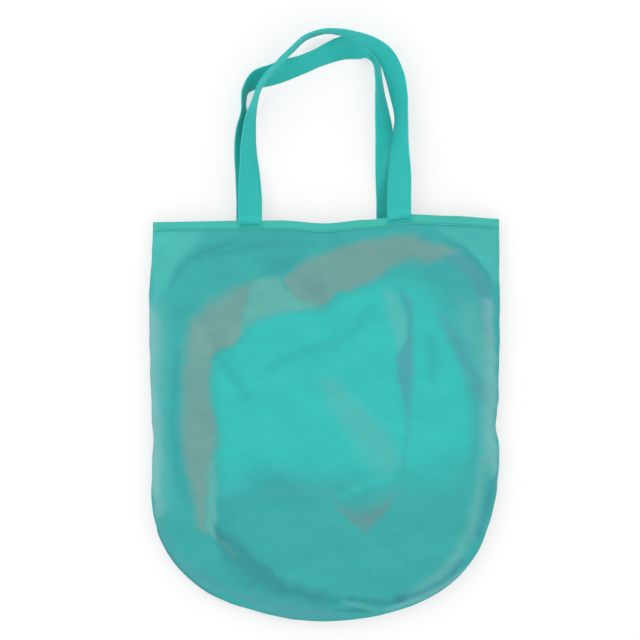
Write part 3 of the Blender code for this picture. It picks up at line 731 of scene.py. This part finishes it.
def add_seam_allowance(piece, across, down, fold_side):
    """Turns a panel's edge in at the sides and the bottom, ready to be sewn to the other panel's."""
    shape = bmesh.new()
    shape.from_mesh(piece.data)
    shape.verts.ensure_lookup_table()
    place = {corner: (across[i], down[i]) for i, corner in enumerate(shape.verts)}
    rim = [e for e in shape.edges if e.is_boundary and max(place[v][1] for v in e.verts) > 0]
    z = SEAM_HEIGHT + fold_side * (GAP + NET) / 2
    for inset in (SEAM_TURN, SEAM_ALLOWANCE / 2, SEAM_ALLOWANCE):
        around = {tuple(v.co): place[v] for e in rim for v in e.verts}
        made = bmesh.ops.extrude_edge_only(shape, edges=rim)["geom"]
        for corner in [item for item in made if isinstance(item, bmesh.types.BMVert)]:
            a, d = around[tuple(corner.co)]
            place[corner] = (a, d)
            clipped = CLIPPED_SHARE + (1 - CLIPPED_SHARE) * smooth(d * STRAIGHT / CLIPPED_CORNER)
            drawn_in = SEAM_TURN + (inset - SEAM_TURN) * clipped
            x, y = outline(np.float64(a), np.float64(d), drawn_in)
            corner.co = (x, y, z)
        edges = [item for item in made if isinstance(item, bmesh.types.BMEdge)]
        rim = [e for e in edges if e.is_boundary and place[e.verts[0]] != place[e.verts[1]]]
    bmesh.ops.recalc_face_normals(shape, faces=shape.faces)
    shape.to_mesh(piece.data)
    shape.free()


# Makes up for the light that the sheer cloth lets through and for its pale sheen, in red, green and blue
NET_BRIGHTER = (0.94, 1.065, 1.075)
# Faint clouds on the colours, each an amount, wave length, turn and seed, and the shaded line of the low seam
CLOUDS = [(0.03, 64 * MM, 1.3, 2.6), (0.02, 21 * MM, 1.45, 5.3)]
SEAM_LINE = 0.982
SEAM_SHADE = 0.7
SEAM_SHADE_Y = -140 * MM
SEAM_SHADE_RUN = 60 * MM


def paint_fold_tints_and_shade(piece):
    """Front panel colours fold by fold: cloth tints, painted shade and highlights, painted seam shade."""
    x, y, _ = corners(piece).astype(float).T
    shown = np.tile(np.array(RING), (len(x), 1))
    for cover, _, tint, strength in fold_covers(x, y, COLOUR_SOFTNESS):
        share = (strength * cover)[:, None]
        shown = shown * (1 - share) + np.array(tint) * share
    cloud = sum(amount * waves(x, y, length, turn, seed) for amount, length, turn, seed in CLOUDS)
    shown = shown * (1 + cloud[:, None])
    at_seam = smooth((nearness(x, y) - SEAM_LINE) / (1 - SEAM_LINE))
    shade = at_seam * smooth((SEAM_SHADE_Y - y) / SEAM_SHADE_RUN)
    shown = shown + (np.array(SHADOW) - shown) * SEAM_SHADE * shade[:, None]
    shown = np.minimum(shown * np.array(NET_BRIGHTER), 1.0)
    rgba = np.concatenate([shown, np.ones((len(x), 1))], 1).astype(np.float32)
    layer = piece.data.color_attributes.new("fold_colour", "FLOAT_COLOR", "POINT")
    layer.data.foreach_set("color", rgba.reshape(-1))


# Bindings, seam tape, straps and threads
HEM_REACH = 0.996
HEM_COLUMNS = 240
LEAF_SHARES = (1.0, 0.96, 0.75, 0.5, 0.25)
FOLD_STEPS = 8
DIMPLE = 0.12 * MM
DIMPLE_LENGTH = 9 * MM


def on_face(x, y, height, off):
    """Points that far off a panel's face, square to it across the bag."""
    slope = (height(x + SLOPE_STEP, y) - height(x - SLOPE_STEP, y)) / (2 * SLOPE_STEP)
    length = np.hypot(slope, 1.0)
    return np.stack([x - off * slope / length, y + 0 * x, height(x, y) + off / length], -1)


def add_hem_tape(name, height, outer_side):
    """Tape folded over a panel's top edge."""
    leaf = BINDING_HEIGHT - TAPE / 2
    turns = np.linspace(0, math.pi, FOLD_STEPS + 1)
    arc = [(LEAF_OFFSET * (1 - math.sin(t)) + TAPE / 2, math.cos(t)) for t in turns]
    outer = [(leaf * k + (LEAF_OFFSET + TAPE) * (1 - k), 1.0) for k in LEAF_SHARES]
    inner = [(depth, -side) for depth, side in reversed(outer)]
    profile = outer + arc + inner
    columns = HEM_REACH * crowded(np.linspace(-1, 1, HEM_COLUMNS + 1), SIDE_CROWDING)
    rows = []
    for depth, side in profile:
        y = MOUTH_Y - depth
        x = half_width(y) * columns
        swell = waves(x, 0 * x, DIMPLE_LENGTH, turn=0.0, seed=1.9)
        dimple = DIMPLE * swell * smooth(depth / BINDING_HEIGHT)
        rows.append(on_face(x, y, height, outer_side * (side * LEAF_OFFSET + dimple)))
    return add_tape(name, lie(np.array(rows)), TAPE)


def add_seam_tape(name):
    """Tape folded round the seam allowances inside the bag."""
    between_panels = GAP / 2
    leaf = NET + (between_panels + GAP) + TAPE / 2
    fold = SEAM_ALLOWANCE + GAP + TAPE / 2
    start = fold - SEAM_TAPE_WIDTH
    round_off = TAPE / 2
    upper = [(start, leaf), ((start + fold) / 2, leaf), (fold - round_off, leaf), (fold, leaf - round_off)]
    profile = upper + [(inset, -off) for inset, off in reversed(upper)]
    stations = rim_stations()
    stations = stations[stations[:, 1] * STRAIGHT > SEAM_TAPE_START]
    rows = []
    for inset, off in profile:
        x, y = outline(stations[:, 0], stations[:, 1], inset)
        rows.append(np.stack([x, y, np.full_like(x, SEAM_HEIGHT + off)], -1))
    return add_tape(name, lie(np.array(rows)), TAPE)


def strap_stations(route, root_x, root_z, sewn_side):
    """A strap's stations from one sewn end to the other: x, out from the mouth, lower edge and lean."""
    first, last = route[0][0], route[-1][0]
    root_low = root_z - CAD_STRAP_THICKNESS / 2
    sewn_low = root_low + sewn_side * SEWN_DOWN
    _, top_out, _, top_lean = max(FRONT_ROUTE, key=lambda station: station[1])
    tilt = math.radians(top_lean)
    top_edge = (STRAP_WIDTH * math.cos(tilt) + CAD_STRAP_THICKNESS * math.sin(tilt)) / 2
    stretch = (HANDLE_RISE - top_edge) / top_out
    ends = []
    for x in root_x:
        ends.append([(x, -STRAP_LAP, sewn_low, 0), (x, 0.0, sewn_low, 0), (x, STRAP_ROOT, root_low, 0)])
    loop = []
    for across, out, lifts, lean in route:
        x = root_x[0] + (across - first) * (root_x[1] - root_x[0]) / (last - first)
        hang = (root_low - FLOOR_GAP) * (1 - float(smooth(out / HANG_RUN)))
        loop.append((x, out * stretch, FLOOR_GAP + hang + lifts * STRAP_WIDTH, lean))
    return ends[0] + loop + ends[1][::-1]


def spaced(stations, steps):
    """Points on a smooth curve through the stations."""
    stations = np.array(stations, float)
    padded = np.concatenate([[2 * stations[0] - stations[1]], stations, [2 * stations[-1] - stations[-2]]])
    points = []
    for a, b, c, d in zip(padded, padded[1:], padded[2:], padded[3:]):
        for t in np.arange(steps) / steps:
            bend = (c - a) * t + (2 * a - 5 * b + 4 * c - d) * t**2 + (3 * b - a - 3 * c + d) * t**3
            points.append(b + bend / 2)
    return np.array(points + [stations[-1]])


STRAP_STEPS = 12
STRAP_COLUMNS = 12
STRAP_RIPPLE = 0.16 * MM
STRAP_RIPPLE_LENGTH = 37 * MM
STRAP_RIPPLE_TURN = 0.5
SMOOTH_END = 25 * MM


def add_strap(name, route, root_x, root_z, sewn_side, seed):
    """A strap from sewn end to sewn end, lying as its route says."""
    line = spaced(strap_stations(route, root_x, root_z, sewn_side), STRAP_STEPS)
    lean = np.radians(line[:, 3])
    height = (STRAP_WIDTH * np.abs(np.sin(lean)) + CAD_STRAP_THICKNESS * np.cos(lean)) / 2
    centre = np.stack([line[:, 0], MOUTH_Y + line[:, 1], line[:, 2] + height], -1)
    ahead = np.gradient(centre, axis=0)
    plan = np.hypot(ahead[:, 0], ahead[:, 1])[:, None]
    left = np.stack([-ahead[:, 1], ahead[:, 0], np.zeros(len(ahead))], -1) / plan
    across = left * np.cos(lean)[:, None] + np.array([0, 0, 1.0]) * np.sin(lean)[:, None]
    face = np.cross(ahead, across)
    face /= np.linalg.norm(face, axis=1)[:, None]
    length = run_lengths(centre)
    free = smooth(length / SMOOTH_END) * smooth((length[-1] - length) / SMOOTH_END)
    columns = np.linspace(-1, 1, STRAP_COLUMNS + 1)
    points = centre[:, None, :] + across[:, None, :] * (columns * STRAP_WIDTH / 2)[None, :, None]
    along = length[:, None] + 0 * columns[None, :]
    aside = columns[None, :] * STRAP_WIDTH
    swell = waves(along, aside, STRAP_RIPPLE_LENGTH, STRAP_RIPPLE_TURN, seed)
    ripple = STRAP_RIPPLE * swell * free[:, None]
    points = points + face[:, None, :] * ripple[..., None]
    near_mouth = np.clip(1 - (points[..., 1:2] - MOUTH_Y) / HEM_WAVE_RUN, 0, 1)
    points = np.where(near_mouth > 0, lie(points), points)
    return add_tape(name, points, STRAP_THICKNESS)


def add_threads(name, runs, thickness):
    """Sewing thread along each run of points, as round strands."""
    curve = bpy.data.curves.new(name, "CURVE")
    curve.dimensions = "3D"
    curve.bevel_depth = thickness / 2
    curve.bevel_resolution = 1
    curve.use_fill_caps = True
    for run in runs:
        spline = curve.splines.new("POLY")
        spline.points.add(len(run) - 1)
        spline.points.foreach_set("co", np.concatenate([run, np.ones((len(run), 1))], 1).reshape(-1))
    piece = bpy.data.objects.new(name, curve)
    bpy.context.scene.collection.objects.link(piece)
    pick(piece)
    bpy.ops.object.convert(target="MESH")
    bpy.ops.object.mode_set(mode="EDIT")
    bpy.ops.mesh.select_all(action="SELECT")
    bpy.ops.mesh.remove_doubles(threshold=1e-6)
    bpy.ops.mesh.normals_make_consistent(inside=False)
    bpy.ops.object.mode_set(mode="OBJECT")
    piece.data.shade_smooth()
    return piece


STITCH_LENGTH = 3.2 * MM
STITCH_SPACE = 0.6 * MM
STITCH_MARGIN = 1.8 * MM
STITCH_REACH = 0.97
STITCH_POINTS = 5
STITCH_LIFT = 0.05 * MM
STITCH_DIP = 0.25 * MM
ZIGZAG_POINTS = 19
ZIGZAG_MARGIN = 2.2 * MM
ZIGZAG_START = 1.1 * MM
ZIGZAG_HEIGHT = 2.6 * MM
TACK_LIFT = STRAP_THICKNESS / 2 + THREAD / 2 - SEWN_DOWN - THREAD_SUNK


def hem_stitches(height, outer_side):
    """One short strand for each stitch along a binding's lower edge."""
    y = MOUTH_Y - BINDING_HEIGHT + STITCH_MARGIN
    reach = half_width(y) * STITCH_REACH
    along = np.linspace(0, 1, STITCH_POINTS)
    dip = STITCH_DIP * (2 * along - 1) ** 2
    lift = outer_side * (BINDING_HALF + THREAD / 2 + STITCH_LIFT - dip)
    runs = []
    for start in np.arange(-reach, reach - STITCH_LENGTH, STITCH_LENGTH):
        x = start + along * (STITCH_LENGTH - STITCH_SPACE)
        runs.append(lie(on_face(x, np.full_like(x, y), height, lift)))
    return runs


def zigzag(x, z):
    """The tack across a strap's sewn end."""
    reach = STRAP_WIDTH / 2 - ZIGZAG_MARGIN
    low = MOUTH_Y - STRAP_LAP + ZIGZAG_START
    i = np.arange(ZIGZAG_POINTS)
    across = x - reach + 2 * reach * i / (ZIGZAG_POINTS - 1)
    return lie(np.stack([across, low + ZIGZAG_HEIGHT * (i % 2), np.full(ZIGZAG_POINTS, z)], -1))


# Materials. A wave texture at scale 1 has a band every WAVE_PERIOD metres.
WAVE_PERIOD = 0.314
WEAVE_WOBBLE = 0.4
NET_PITCH = 1.1 * MM
NET_ALPHA = 0.86
HEM_PITCH = 0.7 * MM
STRAP_PITCH = 0.8 * MM
GLOW_DEPTH = 1.5 * MM
SHEEN_ROUGHNESS = 0.4
CLOTH_GLOSS = 0.18


def new_material(name):
    """A new material with its nodes, their links and its shader."""
    material = bpy.data.materials.new(name)
    material.use_nodes = True
    nodes = material.node_tree.nodes
    return material, nodes, material.node_tree.links, nodes["Principled BSDF"]


def weave(nodes, links, source, output, pitch, turn):
    """Threads crossing at that pitch, as a height from 0 to 1, on coordinates in metres."""
    heights = []
    for angle in (turn, turn + math.pi / 2):
        mapping = nodes.new("ShaderNodeMapping")
        mapping.inputs["Rotation"].default_value = (0, 0, angle)
        links.new(source.outputs[output], mapping.inputs["Vector"])
        wave = nodes.new("ShaderNodeTexWave")
        wave.inputs["Scale"].default_value = WAVE_PERIOD / pitch
        wave.inputs["Distortion"].default_value = WEAVE_WOBBLE
        wave.inputs["Detail"].default_value = 1.0
        links.new(mapping.outputs["Vector"], wave.inputs["Vector"])
        heights.append(wave)
    both = nodes.new("ShaderNodeMath")
    both.operation = "MAXIMUM"
    links.new(heights[0].outputs["Fac"], both.inputs[0])
    links.new(heights[1].outputs["Fac"], both.inputs[1])
    return both


def shaded(nodes, links, base, height, depth):
    """The base colour, a little darker between the threads."""
    mix = nodes.new("ShaderNodeMix")
    mix.data_type = "RGBA"
    mix.blend_type = "MULTIPLY"
    mix.inputs["Factor"].default_value = 1.0
    ramp = nodes.new("ShaderNodeMapRange")
    ramp.inputs["To Min"].default_value = 1.0 - depth
    ramp.inputs["To Max"].default_value = 1.0
    links.new(height.outputs[0], ramp.inputs["Value"])
    links.new(base, mix.inputs["A"])
    links.new(ramp.outputs["Result"], mix.inputs["B"])
    return mix.outputs["Result"]


def mottled(nodes, links, source, output, tint, amount, size):
    """A plain colour with faint cloudy variation."""
    noise = nodes.new("ShaderNodeTexNoise")
    noise.inputs["Scale"].default_value = 1 / size
    noise.inputs["Detail"].default_value = 3.0
    links.new(source.outputs[output], noise.inputs["Vector"])
    mix = nodes.new("ShaderNodeMix")
    mix.data_type = "RGBA"
    mix.inputs["A"].default_value = (*[c * (1 - amount) for c in tint], 1)
    mix.inputs["B"].default_value = (*[min(c * (1 + amount), 1) for c in tint], 1)
    links.new(noise.outputs["Fac"], mix.inputs["Factor"])
    return mix.outputs["Result"]


def add_bump(nodes, links, height, shader, strength, distance):
    """Makes the threads' height show in how the light falls."""
    bump = nodes.new("ShaderNodeBump")
    bump.inputs["Strength"].default_value = strength
    bump.inputs["Distance"].default_value = distance
    links.new(height.outputs[0], bump.inputs["Height"])
    links.new(bump.outputs["Normal"], shader.inputs["Normal"])


def cloth_finish(shader, roughness, sheen, alpha):
    """Sets a dull finish with a soft sheen."""
    shader.inputs["Roughness"].default_value = roughness
    shader.inputs["Sheen Weight"].default_value = sheen
    shader.inputs["Sheen Roughness"].default_value = SHEEN_ROUGHNESS
    shader.inputs["Specular IOR Level"].default_value = CLOTH_GLOSS
    shader.inputs["Alpha"].default_value = alpha


def net_material(name, painted):
    """Fine sheer net. The front panel shows its folds' tints, painted shade and painted highlights."""
    material, nodes, links, shader = new_material(name)
    place = nodes.new("ShaderNodeTexCoord")
    threads = weave(nodes, links, place, "Object", NET_PITCH, math.pi / 4)
    if painted:
        # The front panel's fold tints with their painted shade and painted highlights
        folds = nodes.new("ShaderNodeAttribute")
        folds.attribute_name = "fold_colour"
        base = folds.outputs["Color"]
    else:
        base = mottled(nodes, links, place, "Object", RING, amount=0.1, size=60 * MM)
    links.new(shaded(nodes, links, base, threads, depth=0.12), shader.inputs["Base Color"])
    add_bump(nodes, links, threads, shader, strength=0.25, distance=0.2 * MM)
    cloth_finish(shader, roughness=0.65, sheen=0.06, alpha=NET_ALPHA)
    return material


def woven_material(name, tint, pitch, glow_through):
    """Close-woven tape or strap, thin enough that some light passes through it."""
    material, nodes, links, shader = new_material(name)
    place = nodes.new("ShaderNodeTexCoord")
    threads = weave(nodes, links, place, "UV", pitch, 0.0)
    base = mottled(nodes, links, place, "UV", tint, amount=0.06, size=30 * MM)
    links.new(shaded(nodes, links, base, threads, depth=0.15), shader.inputs["Base Color"])
    add_bump(nodes, links, threads, shader, strength=0.3, distance=0.15 * MM)
    cloth_finish(shader, roughness=0.7, sheen=0.1, alpha=1.0)
    shader.inputs["Subsurface Weight"].default_value = glow_through
    shader.inputs["Subsurface Radius"].default_value = (1.0, 1.0, 1.0)
    shader.inputs["Subsurface Scale"].default_value = GLOW_DEPTH
    return material


def thread_material(name, tint):
    """Spun sewing thread."""
    material, nodes, links, shader = new_material(name)
    place = nodes.new("ShaderNodeTexCoord")
    base = mottled(nodes, links, place, "Object", tint, amount=0.1, size=3 * MM)
    links.new(base, shader.inputs["Base Color"])
    cloth_finish(shader, roughness=0.5, sheen=0.1, alpha=1.0)
    return material


net_front = net_material("front_net_cloth", painted=True)
net_back = net_material("back_net_cloth", painted=False)
hem_cloth = woven_material("hem_tape_cloth", HEM_TINT, HEM_PITCH, glow_through=0.0)
strap_cloth = woven_material("strap_cloth", STRAP_TINT, STRAP_PITCH, glow_through=1.0)
sewing_thread = thread_material("sewing_thread", THREAD_TINT)

# The bag
front_net = add_panel("front_net", front_height, front_relief, 1, settles=True)
paint_fold_tints_and_shade(front_net)
thicken(front_net, NET)
finish_piece(front_net, "bag", "net_cloth", net_front, "front_panel")

back_net = add_panel("back_net", back_height, back_relief, -1, settles=False)
thicken(back_net, NET)
finish_piece(back_net, "bag", "net_cloth", net_back, "back_panel")

front_hem = add_hem_tape("front_hem_tape", front_height, 1)
finish_piece(front_hem, "bag", "binding_tape", hem_cloth, "front_mouth_binding")
back_hem = add_hem_tape("back_hem_tape", back_height, -1)
finish_piece(back_hem, "bag", "binding_tape", hem_cloth, "back_mouth_binding")
seam_tape = add_seam_tape("seam_tape")
finish_piece(seam_tape, "bag", "binding_tape", hem_cloth, "seam_binding")

front_stitches = add_threads("front_hem_stitches", hem_stitches(front_height, 1), THREAD)
finish_piece(front_stitches, "bag", "sewing_thread", sewing_thread, "front_binding_stitch")
back_stitches = add_threads("back_hem_stitches", hem_stitches(back_height, -1), THREAD)
finish_piece(back_stitches, "bag", "sewing_thread", sewing_thread, "back_binding_stitch")

for side, strap_x, tack_z in (
    ("front", FRONT_STRAP_X, FRONT_STRAP_Z + TACK_LIFT),
    ("back", BACK_STRAP_X, BACK_STRAP_Z - TACK_LIFT),
):
    for hand, x in zip(("left", "right"), strap_x):
        tack = add_threads(f"{side}_{hand}_zigzag", [zigzag(x, tack_z)], THREAD)
        finish_piece(tack, "bag", "sewing_thread", sewing_thread, f"{side}_{hand}_tack")

# The straps, each rising off the binding where it leaves the mouth's edge
for side, route, root_x, root_z, sewn_side, seed in (
    ("front", FRONT_ROUTE, FRONT_STRAP_X, FRONT_STRAP_Z, -1, 1.1),
    ("back", BACK_ROUTE, BACK_STRAP_X, BACK_STRAP_Z, 1, 2.7),
):
    strap = add_strap(f"{side}_strap", route, root_x, root_z, sewn_side, seed)
    strap.data.materials.clear()
    strap.data.materials.append(strap_cloth)
    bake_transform(strap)
    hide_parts(f"{side}_handle", f"{side}_left_strap_end", f"{side}_right_strap_end")

# Floor, light and camera
FLOOR_SIZE = 8.0
FLOOR_WHITE = 0.93
FLOOR_ROUGHNESS = 0.9
FLOOR_GLOW = 0.6
STUDIO_LIGHT = 0.96
KEY_PLACE = (-1.2, 1.0, 1.6)
KEY_SIZE = 1.6
KEY_WATTS = 9
FILL_PLACE = (1.4, -0.8, 1.8)
FILL_SIZE = 1.8
FILL_WATTS = 4


def seen_rays(nodes, links):
    """1 for what the camera sees, straight or by a reflection or through clear stuff, else 0."""
    rays = nodes.new("ShaderNodeLightPath")
    either = rays.outputs["Is Camera Ray"]
    for kind in ("Is Glossy Ray", "Is Transmission Ray"):
        both = nodes.new("ShaderNodeMath")
        both.operation = "MAXIMUM"
        links.new(either, both.inputs[0])
        links.new(rays.outputs[kind], both.inputs[1])
        either = both.outputs["Value"]
    return either


def add_floor():
    """White paper under the bag, which shows white where no shadow falls."""
    bpy.ops.object.select_all(action="DESELECT")
    bpy.ops.mesh.primitive_plane_add(size=FLOOR_SIZE, location=(0, 0, -FLOOR_GAP))
    floor = bpy.context.object
    floor.name = "floor"
    material, nodes, links, shader = new_material("floor_paper")
    shader.inputs["Base Color"].default_value = (FLOOR_WHITE, FLOOR_WHITE, FLOOR_WHITE, 1)
    shader.inputs["Roughness"].default_value = FLOOR_ROUGHNESS
    glow = nodes.new("ShaderNodeEmission")
    glow.inputs["Color"].default_value = (1, 1, 1, 1)
    share = nodes.new("ShaderNodeMath")
    share.operation = "MULTIPLY"
    share.inputs[1].default_value = FLOOR_GLOW
    mix = nodes.new("ShaderNodeMixShader")
    links.new(seen_rays(nodes, links), share.inputs[0])
    links.new(share.outputs["Value"], mix.inputs["Fac"])
    links.new(shader.outputs["BSDF"], mix.inputs[1])
    links.new(glow.outputs["Emission"], mix.inputs[2])
    links.new(mix.outputs["Shader"], nodes["Material Output"].inputs["Surface"])
    floor.data.materials.append(material)


def add_softbox(name, place, size, watts):
    """A square lamp that faces the bag."""
    light = bpy.data.lights.new(name, "AREA")
    light.shape = "SQUARE"
    light.size = size
    light.energy = watts
    lamp = bpy.data.objects.new(name, light)
    lamp.location = place
    lamp.rotation_euler = (-Vector(place)).to_track_quat("-Z", "Y").to_euler()
    bpy.context.scene.collection.objects.link(lamp)


CAMERA_HEIGHT = 6.0
CLOTH_LEVEL = 0.02
PHOTO_WIDTH = 0.6656
PHOTO_CENTRE = (-4.7 * MM, 5.2 * MM)
SENSOR = 36.0


def add_camera():
    """A far camera straight above, which takes in the photo's width at the level of the cloth."""
    camera = bpy.data.cameras.new("camera")
    camera.sensor_width = SENSOR
    camera.lens = SENSOR * (CAMERA_HEIGHT - CLOTH_LEVEL) / PHOTO_WIDTH
    holder = bpy.data.objects.new("camera", camera)
    holder.location = (*PHOTO_CENTRE, CAMERA_HEIGHT)
    bpy.context.scene.collection.objects.link(holder)
    bpy.context.scene.camera = holder


def set_light():
    """Even light from all round, white to the eye, with a softbox to each side."""
    world = bpy.data.worlds.new("studio")
    world.use_nodes = True
    nodes, links = world.node_tree.nodes, world.node_tree.links
    nodes["Background"].inputs["Color"].default_value = (1, 1, 1, 1)
    strength = nodes.new("ShaderNodeMapRange")
    strength.inputs["To Min"].default_value = STUDIO_LIGHT
    strength.inputs["To Max"].default_value = 1.0
    links.new(seen_rays(nodes, links), strength.inputs["Value"])
    links.new(strength.outputs["Result"], nodes["Background"].inputs["Strength"])
    bpy.context.scene.world = world
    add_softbox("key_light", KEY_PLACE, KEY_SIZE, KEY_WATTS)
    add_softbox("fill_light", FILL_PLACE, FILL_SIZE, FILL_WATTS)


add_floor()
set_light()
add_camera()
bpy.context.scene.view_settings.view_transform = "Standard"
